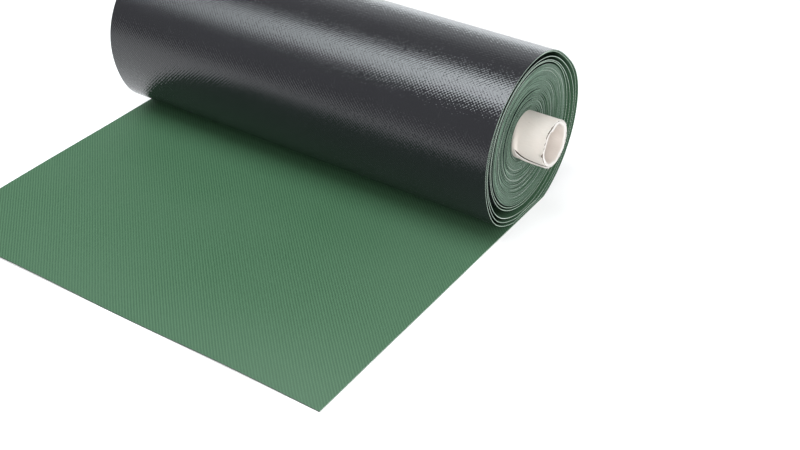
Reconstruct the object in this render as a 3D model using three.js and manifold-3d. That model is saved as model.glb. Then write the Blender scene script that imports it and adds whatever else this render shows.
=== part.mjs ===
// Roll of reinforced sign vinyl: a wide PVC web wound on a cardboard core, with its last
// turns slack and its free end lying flat in front of the roll.
// Millimetres, +Z up. The roll's axis runs along X and the free end lies towards -Y. The
// origin is on the ground, straight below the axis, at the middle of the web's width.

import * as THREE from 'three';
import { mergeVertices } from 'three/addons/utils/BufferGeometryUtils.js';
import Module from 'manifold-3d';

// Core: a wound cardboard tube with a 2 inch bore.
const BORE_RADIUS = 25.4;
const CORE_RADIUS = 31;
const CORE_LENGTH = 670;
const LINER_PLY = 0.7;
const WRAP_PLY = 0.9;
const TAPE_THICKNESS = 0.3;
const TAPE_HALF_ANGLE = THREE.MathUtils.degToRad(24);
const TAPE_END_MARGIN = 8;

// Torn slit along the outer ply, from the web to the rim.
const SLIT_WIDTH = 1.4;
const SLIT_LENGTH = 44;
const SLIT_ANGLE = THREE.MathUtils.degToRad(45);

// Web: two PVC films bonded to a woven scrim, with a glue line between layers.
const WEB_WIDTH = 610;
const FILM = 0.4;
const SCRIM = 0.2;
const GLUE_LINE = 0.1;
const WEB_THICKNESS = 2 * FILM + SCRIM + 2 * GLUE_LINE;

// Tight turns, in groups that can telescope along the core. Their end face is dished.
const WOUND_TURNS = 52;
const WOUND_GROUPS = 4;
const SLIDE_GAP = 0.3;
const RIM_RECESS = 6.7;
const HUB_RECESS = 15.3;

// Slack turns around the tight ones, measured from the roll's axis.
const AXIS_HEIGHT = 111;
const SLACK_TURNS = 5;
const SLACK_HALF_DEPTH = 120;
const SLACK_TOP = 115;
const SLACK_SAG = 118;
const TURNING_GAP = 1;
const RESTING_GAP = 0.3;

// Flat web in front of the roll, which bends up along a line.
const FREE_EDGE = 454;
const BEND_LINE = 200;

const SEGMENTS = 64;
const STEPS_PER_TURN = 40;
const TURN = 2 * Math.PI;

const WOUND_START = CORE_RADIUS + TAPE_THICKNESS + GLUE_LINE;
const WOUND_RADIUS = WOUND_START + WOUND_TURNS * WEB_THICKNESS;

const finishes = {
  faceFilm: { color: 0x1b1f23, roughness: 0.3, metalness: 0 },
  backFilm: { color: 0x4a7c5a, roughness: 0.7, metalness: 0 },
  scrim: { color: 0xc9cfc6, roughness: 0.9, metalness: 0 },
  woundWeb: { color: 0x5b7c68, roughness: 0.7, metalness: 0 },
  card: { color: 0xd8d0c8, roughness: 0.9, metalness: 0 },
  tape: { color: 0xcbb98f, roughness: 0.4, metalness: 0 },
};

// The web's layers, from its glossy face inwards: each starts at a depth below that face.
const webLayers = [
  { name: 'face_film', depth: 0, thickness: FILM, finish: finishes.faceFilm },
  { name: 'scrim', depth: FILM + GLUE_LINE, thickness: SCRIM, finish: finishes.scrim },
  { name: 'back_film', depth: FILM + SCRIM + 2 * GLUE_LINE, thickness: FILM, finish: finishes.backFilm },
];

const wasm = await Module();
wasm.setup();

const roll = new THREE.Group();

function addPart(name, geometry, finish, parent = roll) {
  const mesh = new THREE.Mesh(geometry, new THREE.MeshStandardMaterial(finish));
  mesh.name = name;
  parent.add(mesh);
  return mesh;
}

// Extrudes an outline of the Y-Z plane along X, between two X positions.
function extrudeAlongX(outline, fromX, toX) {
  const shape = new THREE.Shape(outline);
  const geometry = new THREE.ExtrudeGeometry(shape, { depth: toX - fromX, bevelEnabled: false, steps: 1 });
  const toYZ = new THREE.Matrix4().makeBasis(
    new THREE.Vector3(0, 1, 0),
    new THREE.Vector3(0, 0, 1),
    new THREE.Vector3(1, 0, 0),
  );
  geometry.applyMatrix4(toYZ);
  geometry.translate(fromX, 0, 0);
  return geometry;
}

// A tube around X. endAt gives the X of each end at a radius, so that its ends may be coned.
function tubeAroundX(innerRadius, outerRadius, endAt) {
  const profile = [
    new THREE.Vector2(innerRadius, endAt(innerRadius, -1)),
    new THREE.Vector2(outerRadius, endAt(outerRadius, -1)),
    new THREE.Vector2(outerRadius, endAt(outerRadius, 1)),
    new THREE.Vector2(innerRadius, endAt(innerRadius, 1)),
    new THREE.Vector2(innerRadius, endAt(innerRadius, -1)),
  ];
  const geometry = new THREE.LatheGeometry(profile, SEGMENTS);
  geometry.rotateZ(-Math.PI / 2);
  return geometry;
}

function toManifold(geometry) {
  const bare = geometry.clone();
  bare.deleteAttribute('normal');
  bare.deleteAttribute('uv');
  const merged = mergeVertices(bare, 1e-4);
  return new wasm.Manifold(new wasm.Mesh({
    numProp: 3,
    vertProperties: new Float32Array(merged.attributes.position.array),
    triVerts: new Uint32Array(merged.index.array),
  }));
}

function toGeometry(solid) {
  const mesh = solid.getMesh();
  const geometry = new THREE.BufferGeometry();
  geometry.setAttribute('position', new THREE.BufferAttribute(mesh.vertProperties, 3));
  geometry.setIndex(new THREE.BufferAttribute(mesh.triVerts, 1));
  geometry.computeVertexNormals();
  return geometry;
}

// How far the tight turns sit back from the web's edge, at a radius.
function endRecess(radius) {
  const inward = (WOUND_RADIUS - radius) / (WOUND_RADIUS - WOUND_START);
  return THREE.MathUtils.lerp(RIM_RECESS, HUB_RECESS, inward);
}

// Core: liner ply at the bore, body plies, and the wrap ply with its torn slit.
function addCore(axle) {
  const endAt = (radius, side) => side * CORE_LENGTH / 2;
  const linerOuter = BORE_RADIUS + LINER_PLY;
  const wrapInner = CORE_RADIUS - WRAP_PLY;
  addPart('core_liner_ply', tubeAroundX(BORE_RADIUS, linerOuter, endAt), finishes.card, axle);
  const bodyPlies = tubeAroundX(linerOuter + GLUE_LINE, wrapInner - GLUE_LINE, endAt);
  addPart('core_body_plies', bodyPlies, finishes.card, axle);

  const slit = new THREE.BoxGeometry(SLIT_LENGTH + 1, SLIT_WIDTH, 4 * WRAP_PLY);
  slit.translate((CORE_LENGTH - SLIT_LENGTH + 1) / 2, 0, -(wrapInner + WRAP_PLY / 2));
  slit.rotateX(-SLIT_ANGLE);
  const wrap = toManifold(tubeAroundX(wrapInner, CORE_RADIUS, endAt));
  addPart('core_wrap_ply', toGeometry(wrap.subtract(toManifold(slit))), finishes.card, axle);
}

// Tape that holds the web's inner end on top of the core.
function addStartTape(axle) {
  const inner = CORE_RADIUS + GLUE_LINE;
  const outer = inner + TAPE_THICKNESS;
  const from = Math.PI / 2 - TAPE_HALF_ANGLE;
  const to = Math.PI / 2 + TAPE_HALF_ANGLE;
  const section = new THREE.Shape();
  section.absarc(0, 0, outer, from, to, false);
  section.absarc(0, 0, inner, to, from, true);
  const edge = WEB_WIDTH / 2 - TAPE_END_MARGIN;
  const middle = -endRecess(WOUND_START);
  const tape = extrudeAlongX(section.getPoints(4), middle - edge, middle + edge);
  addPart('start_tape', tape, finishes.tape, axle);
}

// Tight turns, in nested groups from the core outwards.
function addWoundTurns(axle) {
  const groupDepth = (WOUND_RADIUS - WOUND_START) / WOUND_GROUPS;
  const endAt = (radius, side) => side * WEB_WIDTH / 2 - endRecess(radius);
  for (let group = 1; group <= WOUND_GROUPS; group += 1) {
    const outer = WOUND_START + group * groupDepth;
    const inner = outer - groupDepth + SLIDE_GAP;
    addPart(`wound_turns_${group}`, tubeAroundX(inner, outer, endAt), finishes.woundWeb, axle);
  }
}

const groundContact = SLACK_HALF_DEPTH * Math.sqrt(1 - (AXIS_HEIGHT / SLACK_SAG) ** 2);
const liftOff = Math.atan2(groundContact, AXIS_HEIGHT) / TURN;

// Radius of the web's glossy face along the slack turns. turn counts revolutions inwards
// from straight below the axis: up the back, over the top and down the front. Each turn
// is an oval that shrinks towards the tight turns, stopped below by the layers under it.
function slackRadius(turn) {
  const angle = turn * TURN;
  const slack = 1 - turn / (SLACK_TURNS + liftOff);
  const tight = WOUND_RADIUS + TURNING_GAP + WEB_THICKNESS;
  const halfDepth = THREE.MathUtils.lerp(tight, SLACK_HALF_DEPTH, slack);
  const down = Math.cos(angle);
  const halfHeight = THREE.MathUtils.lerp(tight, down > 0 ? SLACK_SAG : SLACK_TOP, slack);
  const oval = 1 / Math.hypot(Math.sin(angle) / halfDepth, down / halfHeight);
  const layersBelow = Math.round(turn) * (WEB_THICKNESS + RESTING_GAP);
  return down > 0.5 ? Math.min(oval, (AXIS_HEIGHT - layersBelow) / down) : oval;
}

function slackPoint(turn, depth) {
  const radius = slackRadius(turn) - depth;
  const angle = turn * TURN;
  return new THREE.Vector2(radius * Math.sin(angle), AXIS_HEIGHT - radius * Math.cos(angle));
}

// One slack turn of one layer, from the ground contact round to above it.
function slackTurnOutline(index, layer) {
  const endGap = RESTING_GAP / (TURN * SLACK_HALF_DEPTH);
  const from = liftOff + index - 1;
  const to = liftOff + index - endGap;
  const outer = [];
  const inner = [];
  for (let step = 0; step <= STEPS_PER_TURN; step += 1) {
    const turn = THREE.MathUtils.lerp(from, to, step / STEPS_PER_TURN);
    outer.push(slackPoint(turn, layer.depth));
    inner.unshift(slackPoint(turn, layer.depth + layer.thickness));
  }
  return [...outer, ...inner];
}

// Slack turns, counted inwards. Each sits a little further in from the web's edge.
function addSlackTurns() {
  for (let index = 1; index <= SLACK_TURNS; index += 1) {
    const recess = RIM_RECESS * (index - 1) / SLACK_TURNS;
    for (const layer of webLayers) {
      const outline = slackTurnOutline(index, layer);
      const geometry = extrudeAlongX(outline, -WEB_WIDTH / 2 - recess, WEB_WIDTH / 2 - recess);
      addPart(`slack_turn_${index}_${layer.name}`, geometry, layer.finish);
    }
  }
}

// Flat web on the ground, one box for each layer between two distances in front of the axis.
function addFlatWeb(name, front, back) {
  for (const layer of webLayers) {
    const geometry = new THREE.BoxGeometry(WEB_WIDTH, front - back, layer.thickness);
    geometry.translate(0, -(front + back) / 2, layer.depth + layer.thickness / 2);
    addPart(`${name}_${layer.name}`, geometry, layer.finish);
  }
}

const axle = new THREE.Group();
axle.position.z = AXIS_HEIGHT;
roll.add(axle);

addCore(axle);
addStartTape(axle);
addWoundTurns(axle);
addSlackTurns();
addFlatWeb('ground_run', BEND_LINE - RESTING_GAP, WEB_THICKNESS - groundContact);
addFlatWeb('free_end', FREE_EDGE, BEND_LINE);

export default roll;
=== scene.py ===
"""The looks of a roll of reinforced sign vinyl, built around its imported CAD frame.

Metres, +Z up. The roll's axis runs along X, its dished end faces +X, and the free end of the
web lies flat towards -Y. Lengths that the frame holds are read from it, and the rest are
named below in metres.
"""

import math

import bpy
import numpy as np
from mathutils import Matrix, Vector


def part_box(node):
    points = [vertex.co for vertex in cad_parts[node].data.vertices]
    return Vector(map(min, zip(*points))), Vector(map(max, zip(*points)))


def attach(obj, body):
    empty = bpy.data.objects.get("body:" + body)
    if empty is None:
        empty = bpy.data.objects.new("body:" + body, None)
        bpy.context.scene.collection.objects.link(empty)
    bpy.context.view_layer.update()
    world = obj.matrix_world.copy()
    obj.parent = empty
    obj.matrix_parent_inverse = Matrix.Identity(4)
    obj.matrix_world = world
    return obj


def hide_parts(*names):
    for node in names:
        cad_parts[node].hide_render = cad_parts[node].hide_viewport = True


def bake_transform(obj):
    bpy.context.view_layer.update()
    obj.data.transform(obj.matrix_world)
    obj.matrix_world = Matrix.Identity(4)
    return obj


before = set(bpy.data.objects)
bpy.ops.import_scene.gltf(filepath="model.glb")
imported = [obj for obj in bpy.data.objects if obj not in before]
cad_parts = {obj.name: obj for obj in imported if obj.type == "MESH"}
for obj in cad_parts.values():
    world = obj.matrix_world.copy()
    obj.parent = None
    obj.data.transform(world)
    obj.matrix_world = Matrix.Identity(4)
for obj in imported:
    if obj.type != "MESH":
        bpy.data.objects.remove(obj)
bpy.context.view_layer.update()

# ---------------------------------------------------------------- sizes

MM = 0.001
TURN = 2 * math.pi
LAYERS = ("face_film", "scrim", "back_film")
SLACK_TURNS = 5
TURNS_PER_GROUP = 13
GROUP_BODIES = ("core", "inner_turns", "middle_turns", "outer_turns")
WOUND_GROUPS = len(GROUP_BODIES)
WOUND_TURNS = WOUND_GROUPS * TURNS_PER_GROUP

core_low, core_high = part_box("core_body_plies")
free_low, free_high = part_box("free_end_back_film")
hub_low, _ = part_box("wound_turns_1")
_, pack_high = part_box(f"wound_turns_{WOUND_GROUPS}")
_, wrap_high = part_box("core_wrap_ply")
_, tape_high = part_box("start_tape")
_, ground_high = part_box("ground_run_face_film")

AXIS_Z = (core_low.z + core_high.z) / 2
CORE_END = core_high.x
WRAP_RADIUS = wrap_high.z - AXIS_Z
BODY_RADIUS = core_high.z - AXIS_Z
# A 2 inch bore. No node's box ends at it, so it isn't read from the frame.
BORE_RADIUS = 25.4 * MM
HALF_WIDTH = ground_high.x
WEB_THICKNESS = free_high.z
FRONT_EDGE = free_low.y
GROUND_CONTACT = ground_high.y
PACK_RADIUS = pack_high.z - AXIS_Z
START_RADIUS = tape_high.z - AXIS_Z
RIM_RECESS = HALF_WIDTH - pack_high.x
HUB_RECESS = -HALF_WIDTH - hub_low.x
HUB_FACE = HALF_WIDTH - HUB_RECESS

# Tight turns. Their web is a tenth thinner than it is elsewhere, so that the turns don't touch.
WOUND_THICKNESS = 0.9 * WEB_THICKNESS
PITCH = (PACK_RADIUS - START_RADIUS - WOUND_THICKNESS) / (WOUND_TURNS - 1)
# The web's inner end lies near the top of the core, about half a turn before a whole last turn.
TAPED_END = WOUND_TURNS - 0.52
# The most that one turn's edge stands out of the dished end.
FARTHEST_OUT = 3.5 * MM

# Slack turns: an oval that shrinks inwards, stopped by the ground and the layers on it. The
# outermost droops low on its front, and dips at its upper back.
SLACK_DEPTH = 120 * MM
SLACK_TOP = 113.5 * MM
SLACK_SAG = 118 * MM
RESTING_GAP = 0.3 * MM
LAST_SLACK_TURN = SLACK_TURNS + 0.22
FRONT_DROOP = 6 * MM
DROOP_ANGLE = math.radians(316)
DROOP_SPREAD = math.radians(20)
SHOULDER_DIP = 5.5 * MM
SHOULDER_ANGLE = math.radians(135)
SHOULDER_SPREAD = math.radians(22)

# Flat web. It floats and waves a little off the ground, and its front edge curls up.
WAVE_HEIGHT = 0.5 * MM
FLOAT_HEIGHT = 0.3 * MM
FRONT_CURL = 0.3 * MM

YARN_PITCH = 2.4 * MM
WEAVE_DIAGONAL = 2 * YARN_PITCH
# Across the web's two ends the knife pinched the black film over the cut, so only this share
# of the cut edge's depth shows there.
PINCHED = 0.3

# The core's outer ply is torn from just outside the web to the rim. Widths and places round
# the core are shares of a turn, and places start at the tear.
TEAR_START = HUB_FACE + 4.5 * MM
TEAR_SEAM = 0.001
TEAR_OPENING = 0.012
NOTCH_PLACE = 0.1
NOTCH_WIDTH = 0.015
NOTCH_DEPTH = 2.5 * MM

# Material slots of the web's strips, and of the core's tube and outer ply.
FACE_FILM, BACK_FILM, CUT_EDGE = range(3)
BOARD, TORN, BODY = range(3)


# ---------------------------------------------------------------- small helpers

def smoothstep(x, low, high):
    t = np.clip((np.asarray(x, float) - low) / (high - low), 0, 1)
    return t * t * (3 - 2 * t)


def lerp(a, b, t):
    return a + (b - a) * t


class Ripple:
    """A smooth, repeatable wobble: a sum of sines with seeded frequencies and phases."""

    def __init__(self, seed, slowest, fastest, waves=7):
        rng = np.random.RandomState(seed)
        self.rates = rng.uniform(slowest, fastest, waves) * TURN
        self.phases = rng.uniform(0, TURN, waves)
        self.scale = 1 / math.sqrt(waves / 2)

    def __call__(self, x):
        x = np.asarray(x, float)[..., None]
        return np.sin(x * self.rates + self.phases).sum(-1) * self.scale


def mesh_object(name, points, faces, slots, materials, uvs=None, sharp=40):
    """A mesh from points (n, 3), faces of point indices and a material slot for each face.

    uvs holds a pair for each face corner. Edges over sharp degrees are shaded as edges.
    """
    mesh = bpy.data.meshes.new(name)
    mesh.from_pydata(points.tolist(), [], [tuple(face) for face in faces])
    if uvs is not None:
        layer = mesh.uv_layers.new(name="UVMap")
        layer.data.foreach_set("uv", np.asarray(uvs, np.float32).ravel())
    for material in materials:
        mesh.materials.append(material)
    mesh.polygons.foreach_set("material_index", np.asarray(slots, np.int32))
    mesh.update()
    mesh.shade_smooth()
    mesh.set_sharp_from_angle(angle=math.radians(sharp))
    made = bpy.data.objects.new(name, mesh)
    bpy.context.scene.collection.objects.link(made)
    return made


# ---------------------------------------------------------------- shader nodes

class Shader:
    """Builds one Principled material with short calls."""

    # Which of the Mix node's sockets are its colours. Other kinds of value share their names.
    MIX_COLOURS = (6, 7)
    MIX_RESULT = 2

    def __init__(self, name, **fixed):
        self.material = bpy.data.materials.new(name)
        self.material.use_nodes = True
        self.tree = self.material.node_tree
        self.principled = self.tree.nodes["Principled BSDF"]
        for socket, value in fixed.items():
            self.principled.inputs[socket.replace("_", " ")].default_value = value

    def node(self, kind, **settings):
        made = self.tree.nodes.new(kind)
        for key, value in settings.items():
            setattr(made, key, value)
        return made

    def put(self, socket, value):
        if isinstance(value, bpy.types.NodeSocket):
            self.tree.links.new(value, socket)
        else:
            socket.default_value = value

    def math(self, operation, a, b=0.0):
        made = self.node("ShaderNodeMath", operation=operation)
        for socket, value in zip(made.inputs, (a, b)):
            self.put(socket, value)
        return made.outputs[0]

    def add(self, a, b):
        return self.math("ADD", a, b)

    def times(self, a, b):
        return self.math("MULTIPLY", a, b)

    def coordinates(self, which):
        return self.node("ShaderNodeTexCoord").outputs[which]

    def uv(self):
        split = self.node("ShaderNodeSeparateXYZ")
        self.put(split.inputs[0], self.coordinates("UV"))
        return split.outputs[0], split.outputs[1]

    def stretched(self, vector, scale):
        made = self.node("ShaderNodeMapping")
        self.put(made.inputs["Vector"], vector)
        made.inputs["Scale"].default_value = scale
        return made.outputs[0]

    def noise(self, vector, scale, detail=2.0, roughness=0.5):
        made = self.node("ShaderNodeTexNoise")
        self.put(made.inputs["Vector"], vector)
        made.inputs["Scale"].default_value = scale
        made.inputs["Detail"].default_value = detail
        made.inputs["Roughness"].default_value = roughness
        return made.outputs["Fac"]

    def range(self, value, low, high, to_low, to_high, smooth=False):
        """A value between low and high, brought to between to_low and to_high."""
        made = self.node("ShaderNodeMapRange")
        made.interpolation_type = "SMOOTHSTEP" if smooth else "LINEAR"
        for socket, given in zip(made.inputs, (value, low, high, to_low, to_high)):
            self.put(socket, given)
        return made.outputs[0]

    def mix(self, factor, a, b):
        """A colour between two, each of them a socket or (red, green, blue)."""
        made = self.node("ShaderNodeMix", data_type="RGBA")
        self.put(made.inputs["Factor"], factor)
        for index, colour in zip(self.MIX_COLOURS, (a, b)):
            is_socket = isinstance(colour, bpy.types.NodeSocket)
            self.put(made.inputs[index], colour if is_socket else (*colour, 1.0))
        return made.outputs[self.MIX_RESULT]

    def wave(self, phase):
        """cos(2 pi phase), from -1 to 1."""
        return self.math("COSINE", self.times(phase, TURN))

    def bump(self, height):
        """Bumps the surface by a height in metres."""
        made = self.node("ShaderNodeBump")
        made.inputs["Strength"].default_value = 1.0
        made.inputs["Distance"].default_value = 1.0
        self.put(made.inputs["Height"], height)
        self.set("Normal", made.outputs[0])

    def set(self, socket, value):
        """Gives one of the Principled node's inputs a value or a link."""
        self.put(self.principled.inputs[socket], value)


def weave_phases(shader):
    """The two diagonal phases of the scrim's plain weave, in rows, from UVs in metres."""
    along, across = shader.uv()
    rising = shader.math("DIVIDE", shader.add(along, across), WEAVE_DIAGONAL)
    falling = shader.math("DIVIDE", shader.math("SUBTRACT", along, across), WEAVE_DIAGONAL)
    return rising, falling


def face_film_material():
    """Glossy black PVC, embossed by the scrim under it, with faint scuffs."""
    s = Shader("face_film_pvc", IOR=1.5)
    deep, faded, scuffed = (0.0085, 0.0085, 0.0105), (0.0125, 0.0125, 0.015), (0.035, 0.038, 0.04)
    uv = s.coordinates("UV")
    rising, falling = weave_phases(s)
    broad = s.noise(uv, 9.0, 3.0)
    fine = s.noise(uv, 420.0, 2.0)
    scuffs = s.noise(s.stretched(uv, (30.0, 260.0, 1.0)), 1.0, 4.0, 0.6)
    colour = s.mix(broad, deep, faded)
    s.set("Base Color", s.mix(s.range(scuffs, 0.62, 0.8, 0.0, 0.35), colour, scuffed))
    s.set("Roughness", s.range(s.add(broad, s.times(scuffs, 0.5)), 0.5, 1.1, 0.045, 0.085))

    def crease(phase):
        """1 along the valley between two rows of pillows, and 0 on their tops."""
        return s.math("POWER", s.range(s.wave(phase), -1.0, 1.0, 1.0, 0.0), 2.0)

    depth = s.range(s.noise(uv, 260.0, 2.0), 0.32, 0.68, -0.04 * MM, -0.18 * MM)
    emboss = s.times(s.add(s.times(crease(rising), 0.7), crease(falling)), depth)
    grain = s.times(fine, 0.012 * MM)
    sag = s.times(s.noise(uv, 16.0, 1.0), 0.3 * MM)
    s.bump(s.add(s.add(emboss, grain), sag))
    return s.material


def sheen_and_dust(shader):
    """How pale the green film is painted: near the web's free end, dust with a painted sheen, and towards
    its right edge, painted light.
    """
    along, across = shader.uv()
    near_free_end = shader.range(along, 0.0, 0.15, 0.11, 0.0, smooth=True)
    near_free_end = shader.times(near_free_end, shader.range(across, -0.2, 0.3, 0.2, 1.0))
    lit_right_edge = shader.range(across, 0.08, 0.3, 0.0, 0.09, smooth=True)
    return shader.add(near_free_end, lit_right_edge)


def back_film_material():
    """Matt green PVC. One diagonal of the weave stands out as broken ribs."""
    s = Shader("back_film_pvc", Specular_IOR_Level=0.25)
    groove_shade, rib_top = (0.0105, 0.046, 0.019), (0.059, 0.143, 0.071)
    worn, dust_and_sheen, fleck = (0.046, 0.106, 0.057), (0.15, 0.215, 0.165), (0.08, 0.16, 0.098)
    uv = s.coordinates("UV")
    rising, falling = weave_phases(s)
    wander = s.times(s.noise(uv, 60.0, 2.0), 0.35)
    rib = s.wave(s.add(rising, wander))
    gaps = s.add(s.times(s.wave(falling), 0.24), s.noise(uv, 420.0, 2.0, 0.6))
    broken = s.times(rib, s.range(gaps, 0.3, 0.7, 0.1, 1.15))
    broad = s.noise(uv, 7.0, 3.0)
    flecks = s.noise(uv, 500.0, 3.0, 0.75)
    # The ribs' relief is painted into the colour: painted shade in the grooves, lighter rib tops.
    colour = s.mix(s.range(broken, -1.0, 1.0, 0.0, 1.0), groove_shade, rib_top)
    colour = s.mix(s.range(broad, 0.3, 0.7, 0.0, 0.35), colour, worn)
    # Paler towards the free end and the right edge: dust with a painted sheen there, and painted light at
    # the right edge.
    colour = s.mix(sheen_and_dust(s), colour, dust_and_sheen)
    s.set("Base Color", s.mix(s.range(flecks, 0.5, 0.75, 0.0, 0.6), colour, fleck))
    s.set("Roughness", s.range(flecks, 0.3, 0.7, 0.55, 0.72))
    s.bump(s.add(s.times(broken, 0.08 * MM), s.times(flecks, 0.03 * MM)))
    return s.material


def cut_edge_material(name, yarn_ends, black_until, green_from):
    """The web's slit edge: black film, a row of pale yarn ends, green film. V runs through it."""
    s = Shader(name, IOR=1.45)
    black, green, between_yarns = (0.018, 0.024, 0.022), (0.06, 0.145, 0.082), (0.045, 0.105, 0.065)
    stained, arc_highlight = (0.05, 0.125, 0.07), (0.66, 0.75, 0.67)
    blur = 0.04
    along, depth = s.uv()
    uv = s.coordinates("UV")
    yarn = s.wave(s.math("DIVIDE", along, YARN_PITCH))
    fray = s.noise(s.stretched(uv, (900.0, 3.0, 1.0)), 1.0, 3.0, 0.7)
    turn_tint = s.noise(s.stretched(uv, (2.6, 0.0, 1.0)), 1.0, 2.0)
    lit_arcs = s.noise(s.stretched(uv, (4.5, 0.0, 1.0)), 1.0, 1.0)
    shifted = s.add(depth, s.range(fray, 0.0, 1.0, -0.2, 0.2))
    is_black = s.range(shifted, black_until - blur, black_until + blur, 1.0, 0.0, smooth=True)
    is_green = s.range(shifted, green_from - blur, green_from + blur, 0.0, 1.0, smooth=True)
    scrim = s.mix(s.range(yarn, -0.7, 0.7, 0.0, 1.0), between_yarns, yarn_ends)
    scrim = s.mix(s.range(turn_tint, 0.35, 0.65, 0.35, 0.0), scrim, stained)
    # Painted highlight: a few arcs of the edge, as on turns that stand out, are painted pale.
    scrim = s.mix(s.range(lit_arcs, 0.59, 0.67, 0.0, 0.8), scrim, arc_highlight)
    s.set("Base Color", s.mix(is_black, s.mix(is_green, scrim, green), black))
    s.set("Roughness", s.range(fray, 0.2, 0.8, 0.6, 0.85))
    s.bump(s.add(s.times(fray, 0.15 * MM), s.times(yarn, 0.08 * MM)))
    return s.material


def board_material():
    """Grey-beige wound paperboard with long fibres, mottling and a few dark flecks."""
    s = Shader("core_paperboard", IOR=1.4)
    place = s.coordinates("Object")
    fibres = s.noise(s.stretched(place, (160.0, 900.0, 900.0)), 1.0, 5.0, 0.65)
    mottle = s.noise(place, 55.0, 4.0, 0.6)
    flecks = s.noise(place, 480.0, 1.0)
    colour = s.mix(fibres, (0.61, 0.558, 0.51), (0.735, 0.68, 0.63))
    colour = s.mix(s.range(mottle, 0.35, 0.7, 0.0, 0.45), colour, (0.7, 0.61, 0.555))
    s.set("Base Color", s.mix(s.range(flecks, 0.76, 0.82, 0.0, 0.55), colour, (0.2, 0.15, 0.11)))
    s.set("Roughness", s.range(mottle, 0.3, 0.7, 0.82, 0.95))
    grain = s.times(fibres, 0.12 * MM)
    s.bump(s.add(grain, s.times(mottle, 0.35 * MM)))
    return s.material


def body_board_material():
    """Brown recycled board of the body plies, which shows only through the tear and the crack under the
    outer ply. Its dark brown is partly painted shade of that slit and crack.
    """
    s = Shader("body_paperboard_and_shade", IOR=1.4)
    fibres = s.noise(s.coordinates("Object"), 600.0, 4.0, 0.6)
    s.set("Base Color", s.mix(fibres, (0.09, 0.07, 0.052), (0.17, 0.135, 0.1)))
    s.set("Roughness", s.range(fibres, 0.2, 0.8, 0.85, 0.98))
    s.bump(s.times(fibres, 0.2 * MM))
    return s.material


def torn_board_material():
    """Fuzzy, paler board where the tube was sawn or a ply was torn."""
    s = Shader("torn_paperboard", IOR=1.38)
    place = s.coordinates("Object")
    fuzz = s.noise(place, 1100.0, 5.0, 0.75)
    plies = s.noise(place, 260.0, 3.0, 0.6)
    colour = s.mix(fuzz, (0.56, 0.53, 0.5), (0.73, 0.71, 0.685))
    s.set("Base Color", s.mix(s.range(plies, 0.5, 0.75, 0.0, 0.5), colour, (0.64, 0.58, 0.52)))
    s.set("Roughness", s.range(fuzz, 0.2, 0.8, 0.88, 1.0))
    s.bump(s.times(s.add(fuzz, plies), 0.4 * MM))
    return s.material


def tape_material():
    """Creped paper tape."""
    s = Shader("creped_tape", IOR=1.45)
    place = s.coordinates("Object")
    crepe = s.noise(s.stretched(place, (1400.0, 250.0, 250.0)), 1.0, 3.0)
    s.set("Base Color", s.mix(crepe, (0.42, 0.32, 0.17), (0.58, 0.47, 0.28)))
    s.set("Roughness", s.range(crepe, 0.2, 0.8, 0.5, 0.75))
    s.bump(s.times(crepe, 0.1 * MM))
    return s.material


# ---------------------------------------------------------------- web

def strip_points(stations, across):
    """Points of a strip, (steps, ring, 3). Each ring runs right on the face film, left on the back."""
    face, normal = stations["face"], stations["normal"]
    steps, count = across.shape
    lift = stations.get("lift", np.zeros((steps, count)))
    points = np.zeros((steps, 2 * count, 3))
    rightwards, leftwards = slice(None), slice(None, None, -1)
    for side, (depth, order) in enumerate(((0.0, rightwards), (stations["thickness"], leftwards))):
        half = slice(side * count, (side + 1) * count)
        points[:, half, 0] = across[:, order]
        points[:, half, 1] = (face[:, 0] + normal[:, 0] * depth)[:, None]
        points[:, half, 2] = (face[:, 1] + normal[:, 1] * depth)[:, None] + lift[:, order]
    return points


def strip_sides(across, along):
    """Faces, UVs and material slots of a strip's two films and of its two long edges."""
    steps, count = across.shape
    ring = 2 * count
    start = np.arange(steps - 1)[:, None] * ring
    a = start + np.arange(ring)[None, :]
    b = start + (np.arange(ring)[None, :] + 1) % ring
    faces = np.stack([a, a + ring, b + ring, b], -1).reshape(-1, 4)

    band = np.tile(np.arange(ring), steps - 1)
    is_right, is_left = band == count - 1, band == ring - 1
    slots = np.where(is_right | is_left, CUT_EDGE, np.where(band < count, FACE_FILM, BACK_FILM))
    place = np.concatenate([across[0], across[0][::-1]])
    v_from = np.where(is_right, 0.0, np.where(is_left, 1.0, place[band]))
    v_to = np.where(is_right, 1.0, np.where(is_left, 0.0, place[(band + 1) % ring]))
    u_from = np.repeat(along[:-1], ring)
    u_to = np.repeat(along[1:], ring)
    corners = ((u_from, v_from), (u_to, v_from), (u_to, v_to), (u_from, v_to))
    return faces, np.stack([np.stack(corner, -1) for corner in corners], 1), slots


def strip_ends(across):
    """Faces and UVs that close a strip at its first and last step."""
    steps, count = across.shape
    ring = 2 * count
    faces, uvs = [], []
    for step, order in ((0, -1), (steps - 1, 1)):
        for i in range(count - 1):
            j = ring - 1 - i
            left, right = across[step, i], across[step, i + 1]
            face = [step * ring + k for k in (i, j, j - 1, i + 1)]
            corners = [(left, 0.0), (left, PINCHED), (right, PINCHED), (right, 0.0)]
            faces.append(face[::order])
            uvs.append(corners[::order])
    return faces, uvs


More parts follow.
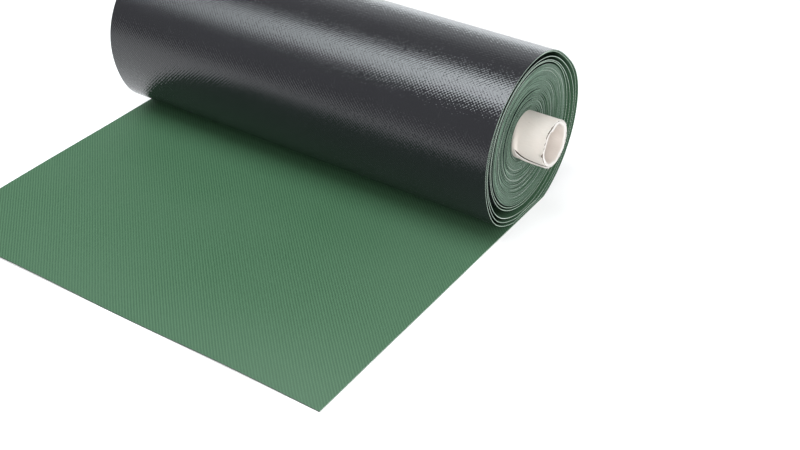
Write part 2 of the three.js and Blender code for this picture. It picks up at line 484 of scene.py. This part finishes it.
def strip(name, stations, columns, materials):
    """A closed thin strip of web. materials are for its face film, back film and cut edges.

    stations holds, for each step along the web: face point (y, z), unit normal (y, z) from
    the face film to the back film, length so far, and X of the web's right edge. It also
    holds the web's thickness, and it may hold a (steps, columns) lift that is added to z.
    columns are places across the web, from 0 at its left edge to 1 at its right edge.
    U is the length along the web. V is X on the films, and the depth from the face film, as
    a share of the thickness, on the cut edges.
    """
    across = stations["right"][:, None] - 2 * HALF_WIDTH * (1 - np.asarray(columns))[None, :]
    points = strip_points(stations, across).reshape(-1, 3)
    faces, uvs, slots = strip_sides(across, stations["along"])
    end_faces, end_uvs = strip_ends(across)
    faces = np.concatenate([faces, end_faces])
    uvs = np.concatenate([uvs, end_uvs])
    slots = np.concatenate([slots, np.full(len(end_faces), CUT_EDGE)])
    return mesh_object(name, points, faces, slots, materials, uvs)


def path_normals(face):
    """Unit normals of a path in the Y-Z plane, to the left of the way it runs."""
    ahead = np.gradient(face, axis=0)
    ahead /= np.linalg.norm(ahead, axis=1)[:, None]
    return np.stack([-ahead[:, 1], ahead[:, 0]], -1)


def path_length(face):
    """Length along a path so far, at each of its points."""
    steps = np.linalg.norm(np.diff(face, axis=0), axis=1)
    return np.concatenate([[0], np.cumsum(steps)])


def around_axis(angle, radius):
    """Points at angles from straight down, towards the back, round the roll's axis."""
    return np.stack([radius * np.sin(angle), AXIS_Z - radius * np.cos(angle)], -1)


def slack_radius(turn):
    """Radius of the face film along the slack turns, turn counting inwards from the ground.

    The three outermost hang fanned out below, and the two outermost bridge over a gap on
    top. The rest lie on the tight turns.
    """
    angle = turn * TURN
    down = np.cos(angle)
    slack = np.clip(1 - turn / LAST_SLACK_TURN, 0, 1)
    layers_inside = LAST_SLACK_TURN - turn + 1
    tight = PACK_RADIUS + layers_inside * (WEB_THICKNESS + RESTING_GAP)
    half_height = np.where(down > 0, SLACK_SAG, SLACK_TOP)
    outermost = 1 / np.hypot(np.sin(angle) / SLACK_DEPTH, down / half_height)
    from_droop = (np.mod(angle, TURN) - DROOP_ANGLE) / DROOP_SPREAD
    outermost = outermost + FRONT_DROOP * np.exp(-from_droop ** 2)
    from_shoulder = (np.mod(angle, TURN) - SHOULDER_ANGLE) / SHOULDER_SPREAD
    outermost = outermost - SHOULDER_DIP * np.exp(-from_shoulder ** 2)
    hanging = 0.97 * slack * smoothstep(slack, 0.15, 0.42)
    lying = 0.12 * slack + 0.85 * smoothstep(slack, 0.35, 0.85)
    oval = lerp(tight, outermost, lerp(hanging, lying, smoothstep(-down, -0.2, 0.8)))
    layers_below = np.round(turn) * (WEB_THICKNESS + RESTING_GAP)
    rest = (AXIS_Z - layers_below) / np.maximum(down, 0.5)
    return np.where(down > 0.5, np.minimum(oval, rest), oval)


def loose_lift(y, x):
    """Height of the loose part of the flat web above the ground, at (steps,) y and (columns,) x."""
    loose = smoothstep(-y, 0.13, 0.24)
    waves = Ripple(5, 1.5, 4.0)(y[:, None] + 0.35 * x[None, :]) * Ripple(6, 0.8, 2.6)(x)[None, :]
    lift = loose[:, None] * np.clip(waves * WAVE_HEIGHT + FLOAT_HEIGHT, 0, None)
    front = smoothstep(-y, -FRONT_EDGE - 0.035, -FRONT_EDGE)
    curl = (0.5 + 0.5 * Ripple(8, 1.5, 4.0)(x)) * FRONT_CURL
    return lift + (front * loose)[:, None] * curl[None, :]


def loose_web(materials):
    """The free end, the run under the roll and the slack turns, as one continuous strip."""
    lift_off = math.atan2(GROUND_CONTACT, AXIS_Z) / TURN
    flat_y = np.linspace(FRONT_EDGE, GROUND_CONTACT, 150)[:-1]
    flat = np.stack([flat_y, np.zeros_like(flat_y)], -1)
    turn = np.linspace(lift_off, LAST_SLACK_TURN, 170 * SLACK_TURNS)
    face = np.concatenate([flat, around_axis(turn * TURN, slack_radius(turn))])
    turns = np.concatenate([np.zeros_like(flat_y), turn])

    normal = path_normals(face)
    normal[:len(flat_y)] = (0.0, 1.0)
    along = path_length(face)
    edge_wave = Ripple(11, 0.6, 5.0)(along) * 0.35 * MM * smoothstep(along, 0, 0.05)
    recess = RIM_RECESS * np.clip(turns / SLACK_TURNS, 0, 1)
    right = HALF_WIDTH - recess + edge_wave * smoothstep(turns, 0.0, 0.6)

    columns = np.concatenate([[0, 0.004], np.linspace(0.02, 0.98, 37), [0.996, 1]])
    lift = np.zeros((len(face), len(columns)))
    lift[:len(flat_y)] = loose_lift(flat_y, HALF_WIDTH * (2 * columns - 1))

    web = strip("loose_web", {
        "face": face, "normal": normal, "along": along, "right": right,
        "thickness": WEB_THICKNESS, "lift": lift,
    }, columns, materials)
    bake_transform(web)
    nodes = [f"slack_turn_{i}_{layer}" for i in range(1, SLACK_TURNS + 1) for layer in LAYERS]
    nodes += [f"{run}_{layer}" for run in ("ground_run", "free_end") for layer in LAYERS]
    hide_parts(*nodes)


def end_offset(turns_in):
    """How far each tight turn's edge sits back from the web's edge, with its unevenness."""
    dish = lerp(RIM_RECESS, HUB_RECESS, turns_in / WOUND_TURNS)
    drift = Ripple(21, 0.03, 0.16)(turns_in) * 0.5 * MM
    uneven = Ripple(22, 0.3, 0.75, 9)(turns_in) * 0.35 * MM
    nicks = Ripple(23, 6.0, 17.0)(turns_in) * 0.06 * MM
    stray = np.zeros_like(turns_in)
    rng = np.random.RandomState(24)
    for _ in range(8):
        centre, width = rng.uniform(2, WOUND_TURNS - 1), rng.uniform(0.25, 0.6)
        stray += rng.uniform(0.3, 0.8) * MM * np.exp(-((turns_in - centre) / width) ** 2)
    at_hub = 1.2 * MM * smoothstep(turns_in, WOUND_TURNS - 7, WOUND_TURNS)
    return dish - np.minimum(drift + uneven + nicks + stray + at_hub, FARTHEST_OUT)


def wound_radius(turns_in):
    """Radius of the face film in the tight turns.

    Each layer runs at one radius and steps down to the next just before the top, where the
    web's inner end is taped to the core.
    """
    layer = np.floor(turns_in + 0.5)
    layer = layer + smoothstep(turns_in - layer, 0.35, 0.5)
    return PACK_RADIUS - np.minimum(layer, WOUND_TURNS - 1) * PITCH


def wound_group(group, materials):
    """One group of tight turns as a real spiral strip, from its outside inwards."""
    body = GROUP_BODIES[group - 1]
    first = (WOUND_GROUPS - group) * TURNS_PER_GROUP
    last = min(first + TURNS_PER_GROUP, TAPED_END)
    turns_in = np.linspace(first, last - 0.01, 144 * TURNS_PER_GROUP)
    angle = turns_in * TURN
    face = around_axis(angle, wound_radius(turns_in))
    stations = {
        "face": face,
        "normal": np.stack([-np.sin(angle), np.cos(angle)], -1),
        "along": path_length(face),
        "right": HALF_WIDTH - end_offset(turns_in),
        "thickness": WOUND_THICKNESS,
    }
    turns = strip(f"wound_web_{group}", stations, (0, 0.01, 0.5, 0.99, 1), materials)
    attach(turns, body)
    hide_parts(f"wound_turns_{group}")


# ---------------------------------------------------------------- core

# Across the core's sawn end: place in the wall, from outside to bore, and depth below the rim in mm.
SAWN_PROFILE = ((0.0, 1.7), (0.06, 0.9), (0.2, 0.5), (0.42, 0.35), (0.68, 0.45), (0.88, 0.8), (1.0, 1.6))


def tube_rings(angles, lengths):
    """Rings along the outside, over the visible end, back along the bore and over the other end."""
    # The bore's edge is pushed inwards in a wedge that ends abruptly, and a crack is open under
    # the outer ply.
    past_corner = np.mod(angles - math.radians(160), TURN) / math.radians(42)
    wedge = past_corner * (1 - smoothstep(past_corner, 1.0, 1.12)) * (past_corner < 1.2)
    parted = np.exp(-(((angles - math.radians(205)) / math.radians(26)) ** 2))
    worn = Ripple(29, 0.5, 2.4)(angles / TURN * 4) * 0.35 * MM
    uneven = Ripple(28, 0.5, 3.0)(angles / TURN * 4) * 0.3 * MM

    def ring(radius, x):
        return np.column_stack([np.broadcast_to(x, angles.shape), around_axis(angles, radius)])

    def sawn(seed, depth):
        fuzz = np.random.RandomState(seed).uniform(-0.4, 0, len(angles)) * MM
        return CORE_END - depth * MM + fuzz + uneven

    wall = BODY_RADIUS - BORE_RADIUS
    rings = [ring(BODY_RADIUS, x) for x in lengths]
    for seed, (share, depth) in enumerate(SAWN_PROFILE):
        lifted = (3 * MM * wedge + worn) * share + (0.8 * MM * parted if share == 0.06 else 0)
        crack = 5 * parted if share == 0 else 0
        rings.append(ring(BODY_RADIUS - wall * share - lifted, sawn(40 + seed, depth + crack)))
    rings += [ring(BORE_RADIUS, x) for x in lengths[::-1]]
    for seed, (share, depth) in enumerate(SAWN_PROFILE[::-1]):
        rings.append(ring(BODY_RADIUS - wall * share, -sawn(60 + seed, depth)))
    return rings


def core_tube(board, torn, body):
    """The core's body and liner plies: a sawn tube with uneven, fuzzy ends."""
    angles = np.linspace(TURN, 0, 300, endpoint=False)
    lengths = np.linspace(-1, 1, 28) * (CORE_END - 4 * MM)
    rings = tube_rings(angles, lengths)
    count, total = len(angles), len(rings)
    at_end = [np.abs(ring[:, 0]).mean() > lengths[-1] + 0.1 * MM for ring in rings]

    def slot_between(i, j):
        if i <= len(lengths):
            return BODY
        return TORN if at_end[i] and at_end[j] else BOARD

    faces, slots = [], []
    for i in range(total):
        j = (i + 1) % total
        for k in range(count):
            m = (k + 1) % count
            faces.append((i * count + k, j * count + k, j * count + m, i * count + m))
            slots.append(slot_between(i, j))
    tube = mesh_object("core_tube", np.concatenate(rings), faces, slots, (board, torn, body), sharp=50)
    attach(tube, "core")
    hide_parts("core_body_plies", "core_liner_ply")


def tear_angle(x):
    """The tear's place at x, from straight down towards the front: it curves, then runs straight."""
    past_start = max(x - TEAR_START, 0)
    return math.radians(50 + 36 * math.exp(-past_start / (11 * MM)))


def wrap_points(xs, turn):
    """Points of the outer ply, (2, xs, turn, 3): its outside, and then its inside.

    turn is a share of the way round, from the tear up over the top and back to it from below.
    """
    rim_fuzz = (Ripple(31, 2.0, 11.0, 12)(turn * 6) * 0.25 - 0.3) * MM
    ragged = np.clip(Ripple(33, 1.0, 7.0)(turn * 2), 0, 1) * smoothstep(turn, 0.55, 0.4)
    notch = np.exp(-((turn - NOTCH_PLACE) / NOTCH_WIDTH) ** 2)
    from_tear = np.minimum(turn, 1 - turn)
    points = np.zeros((2, len(xs), len(turn), 3))
    for i, x in enumerate(xs):
        opened = smoothstep(x, TEAR_START - 1 * MM, TEAR_START + 4 * MM)
        angle = -tear_angle(x) - turn * (1 - TEAR_SEAM - TEAR_OPENING * opened) * TURN
        # The lip below the tear stands off, and it is highest where the tear starts.
        lip = smoothstep(turn, 0.87, 1.0) ** 1.4 * opened
        lip_height = lerp(2.3, 1.5, smoothstep(x, TEAR_START, CORE_END)) * MM
        # A flap on both sides of the tear's start, by the web.
        flap = smoothstep(x, HUB_FACE + 0.4 * MM, HUB_FACE + 2 * MM)
        flap *= 1 - smoothstep(x, TEAR_START, TEAR_START + 5 * MM)
        flap = flap * np.exp(-(from_tear / 0.085) ** 2)
        # The ply has come loose along the rim, on its upper front, and it curls up at its notch.
        loose_ply = smoothstep(x, CORE_END - 7 * MM, CORE_END) * np.exp(-((turn - 0.24) / 0.15) ** 4)
        curled = smoothstep(x, CORE_END - 5 * MM, CORE_END) * notch
        stand_off = lip * lip_height + 1.8 * MM * flap + 0.8 * MM * loose_ply + 0.7 * MM * curled
        torn_back = NOTCH_DEPTH * notch + 1.3 * MM * lip + 1.2 * MM * ragged
        end = (rim_fuzz - torn_back) * np.clip((x - CORE_END) / (8 * MM) + 1, 0, 1)
        frayed = 0.6 * MM * lip
        for side, radius in enumerate((WRAP_RADIUS, BODY_RADIUS + 0.1 * MM - frayed)):
            points[side, i, :, 0] = x + end
            points[side, i, :, 1:] = around_axis(angle, radius + stand_off)
    return points


def wrap_faces(rows, columns):
    """Faces and material slots of the outer ply: outside, inside, both torn edges and both ends."""
    faces, slots = [], []

    def add(slot, *corners):
        faces.append([(side * rows + i) * columns + j for side, i, j in corners])
        slots.append(slot)

    last_row, last_column = rows - 1, columns - 1
    for i in range(last_row):
        for j in range(last_column):
            add(BOARD, (0, i, j), (0, i + 1, j), (0, i + 1, j + 1), (0, i, j + 1))
            add(TORN, (1, i, j), (1, i, j + 1), (1, i + 1, j + 1), (1, i + 1, j))
        add(TORN, (0, i, 0), (1, i, 0), (1, i + 1, 0), (0, i + 1, 0))
        j = last_column
        add(TORN, (0, i, j), (0, i + 1, j), (1, i + 1, j), (1, i, j))
    for j in range(last_column):
        add(TORN, (0, 0, j), (0, 0, j + 1), (1, 0, j + 1), (1, 0, j))
        i = last_row
        add(TORN, (0, i, j), (1, i, j), (1, i, j + 1), (0, i, j + 1))
    return faces, slots


def core_wrap(board, torn):
    """The core's outer ply, split along a tear at its visible end, with one lip standing off."""
    hidden = np.linspace(-CORE_END + 0.4 * MM, HUB_FACE - 3 * MM, 12)
    shown = np.linspace(HUB_FACE - 1 * MM, CORE_END - 0.5 * MM, 60)
    xs = np.concatenate([hidden, shown])
    turn = np.concatenate([np.linspace(0, 0.8, 170), np.linspace(0.8, 1, 71)[1:]])
    points = wrap_points(xs, turn).reshape(-1, 3)
    faces, slots = wrap_faces(len(xs), len(turn))
    wrap = mesh_object("core_wrap", points, faces, slots, (board, torn), sharp=50)
    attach(wrap, "core")
    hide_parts("core_wrap_ply")


def fibre(start, angle, radius, length, thickness, droop):
    """Points and faces of one bent three-sided hair at the rim. start is its first point's index."""
    steps, sides = 5, 3
    points = []
    for i in range(steps + 1):
        t = i / steps
        x = CORE_END - 0.6 * MM + length * math.sin(t * 1.3) * 0.35
        y, z = around_axis(np.array(angle + droop * t * t * 0.12), np.array(radius + length * 0.45 * t * t))
        sag = length * 0.25 * t * t
        width = thickness * (1 - 0.8 * t)
        for k in range(sides):
            turn = TURN * k / sides
            points.append((x, y + width * math.cos(turn), z - sag + width * math.sin(turn)))

    faces = []
    for i in range(steps):
        for k in range(sides):
            a = start + sides * i + k
            b = start + sides * i + (k + 1) % sides
            faces.append((a, b, b + sides, a + sides))
    tip = start + sides * steps
    faces.append((start, start + 2, start + 1))
    faces.append((tip, tip + 1, tip + 2))
    return points, faces


def core_fibres(torn):
    """Loose paper fibres round the sawn rim, with two longer ones by the tear."""
    rng = np.random.RandomState(77)
    fibres = [
        (
            rng.uniform(0, TURN), rng.uniform(BORE_RADIUS, WRAP_RADIUS - 0.3 * MM),
            rng.uniform(0.8, 2.2) * MM, 0.09 * MM, rng.uniform(-1, 1),
        )
        for _ in range(70)
    ]
    fibres.append((-tear_angle(CORE_END) + 0.3, WRAP_RADIUS - 1 * MM, 7.5 * MM, 0.28 * MM, 1.0))
    fibres.append((-tear_angle(CORE_END) + 0.42, WRAP_RADIUS - 1.4 * MM, 5 * MM, 0.2 * MM, -1.0))

    points, faces = [], []
    for measures in fibres:
        more_points, more_faces = fibre(len(points), *measures)
        points += more_points
        faces += more_faces
    mesh = bpy.data.meshes.new("core_fibres")
    mesh.from_pydata(points, [], faces)
    mesh.materials.append(torn)
    mesh.shade_smooth()
    hairs = bpy.data.objects.new("core_fibres", mesh)
    bpy.context.scene.collection.objects.link(hairs)
    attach(hairs, "core")


# ---------------------------------------------------------------- studio

# The photo's camera, solved from the roll's own edges. Its sensor is measured in millimetres.
CAMERA_AZIMUTH = math.radians(33.8)
CAMERA_ELEVATION = math.radians(35.0)
CAMERA_DISTANCE = 1.332
CAMERA_TARGET = Vector((0.3156, -0.3171, 0.1659))
CAMERA_LENS = 57.1
SENSOR_WIDTH = 36

COOL_LIGHT = (0.9, 0.965, 1.0)
WHITE_LIGHT = (1, 1, 1)


def make_camera():
    data = bpy.data.cameras.new("camera")
    data.lens = CAMERA_LENS
    data.sensor_width = SENSOR_WIDTH
    camera = bpy.data.objects.new("camera", data)
    flat = math.cos(CAMERA_ELEVATION)
    back = Vector((
        math.sin(CAMERA_AZIMUTH) * flat, -math.cos(CAMERA_AZIMUTH) * flat, math.sin(CAMERA_ELEVATION),
    ))
    camera.location = CAMERA_TARGET + back * CAMERA_DISTANCE
    camera.rotation_mode = "QUATERNION"
    camera.rotation_quaternion = (-back).to_track_quat("-Z", "Y")
    bpy.context.scene.collection.objects.link(camera)
    bpy.context.scene.camera = camera


def softbox(name, location, aim, along, size, radiance, tint=WHITE_LIGHT):
    """A rectangular light of an even radiance. size is its width, along a direction, and height."""
    width, height = size
    data = bpy.data.lights.new(name, "AREA")
    data.shape = "RECTANGLE"
    data.size, data.size_y = width, height
    data.energy = radiance * math.pi * width * height
    data.color = tint
    light = bpy.data.objects.new(name, data)
    light.location = location
    away = (Vector(location) - Vector(aim)).normalized()
    side = Vector(along) - Vector(along).dot(away) * away
    side.normalize()
    axes = Matrix((side, away.cross(side), away)).transposed()
    light.rotation_mode = "QUATERNION"
    light.rotation_quaternion = axes.to_quaternion()
    light.visible_camera = False
    bpy.context.scene.collection.objects.link(light)


def key_panels():
    """A row of overhead panels at a slant to the roll, dimming towards its hidden end."""
    width, slant = 0.4, 0.22
    for panel in range(5):
        x = 0.1 - width * panel
        location = (x, -0.31 + slant * x, 1.5)
        radiance = 9.2 * 0.7 ** max(panel - 1, 0)
        softbox(
            f"key_panel_{panel}", location, aim=(x, 0, 0.2), along=(1, slant, 0),
            size=(width, 0.8), radiance=radiance, tint=COOL_LIGHT,
        )


def back_panels():
    """A wall of panels behind the roll, each over the same angle, dimming upwards."""
    distance, degrees_each = 1.3, 12
    for panel in range(4):
        bottom = distance * math.tan(math.radians(degrees_each * panel))
        top = distance * math.tan(math.radians(degrees_each * (panel + 1)))
        location = (-0.3, distance, 0.15 + (bottom + top) / 2)
        radiance = 0.5 + 1.95 * 0.28 ** panel
        softbox(
            f"back_panel_{panel}", location, aim=(-0.3, 0, location[2]), along=(1, 0, 0),
            size=(4.0, top - bottom), radiance=radiance, tint=COOL_LIGHT,
        )


def make_lights():
    key_panels()
    back_panels()
    softbox(
        "end_fill", (1.6, -1.6, 1.15), aim=(0.3, 0.0, 0.1), along=(1, 1, 0),
        size=(1.8, 1.6), radiance=4.5,
    )
    softbox(
        "side_wall", (1.6, 0.2, 0.5), aim=(0.3, -0.1, 0.1), along=(0, 1, 0),
        size=(1.8, 1.0), radiance=1.0,
    )


def make_world():
    scene = bpy.context.scene
    scene.view_settings.view_transform = "Standard"
    world = bpy.data.worlds.new("studio")
    world.use_nodes = True
    background = world.node_tree.nodes["Background"]
    background.inputs["Color"].default_value = (0.97, 0.985, 1.0, 1)
    background.inputs["Strength"].default_value = 0.5
    scene.world = world


def make_floor():
    """A white floor a hair under the web, which glows a little so that it stays white."""
    s = Shader("studio_floor")
    s.set("Base Color", (0.6, 0.6, 0.6, 1))
    s.set("Roughness", 0.9)
    s.set("Emission Color", (1, 1, 1, 1))
    s.set("Emission Strength", 0.42)
    reach, height = 12.0, -0.1 * MM
    corners = ((-reach, -reach), (reach, -reach), (reach, reach), (-reach, reach))
    mesh = bpy.data.meshes.new("studio_floor")
    mesh.from_pydata([(x, y, height) for x, y in corners], [], [(0, 1, 2, 3)])
    mesh.materials.append(s.material)
    floor = bpy.data.objects.new("studio_floor", mesh)
    bpy.context.scene.collection.objects.link(floor)


# ---------------------------------------------------------------- build

make_camera()
make_world()
make_lights()
make_floor()

face_film, back_film = face_film_material(), back_film_material()
wound_edge = cut_edge_material("wound_cut_edge", (0.3, 0.4, 0.32), black_until=0.42, green_from=0.8)
# The loose web's edge is a lit copy of the wound turns' edge: its yarn ends are painted paler, as painted
# light.
lit_loose_edge = cut_edge_material("loose_cut_edge_painted_light", (0.7, 0.8, 0.71), black_until=0.32, green_from=0.88)
board, torn_board = board_material(), torn_board_material()

core_tube(board, torn_board, body_board_material())
core_wrap(board, torn_board)
core_fibres(torn_board)
for group in range(1, WOUND_GROUPS + 1):
    wound_group(group, (face_film, back_film, wound_edge))
loose_web((face_film, back_film, lit_loose_edge))

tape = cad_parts["start_tape"]
tape.data.materials.clear()
tape.data.materials.append(tape_material())
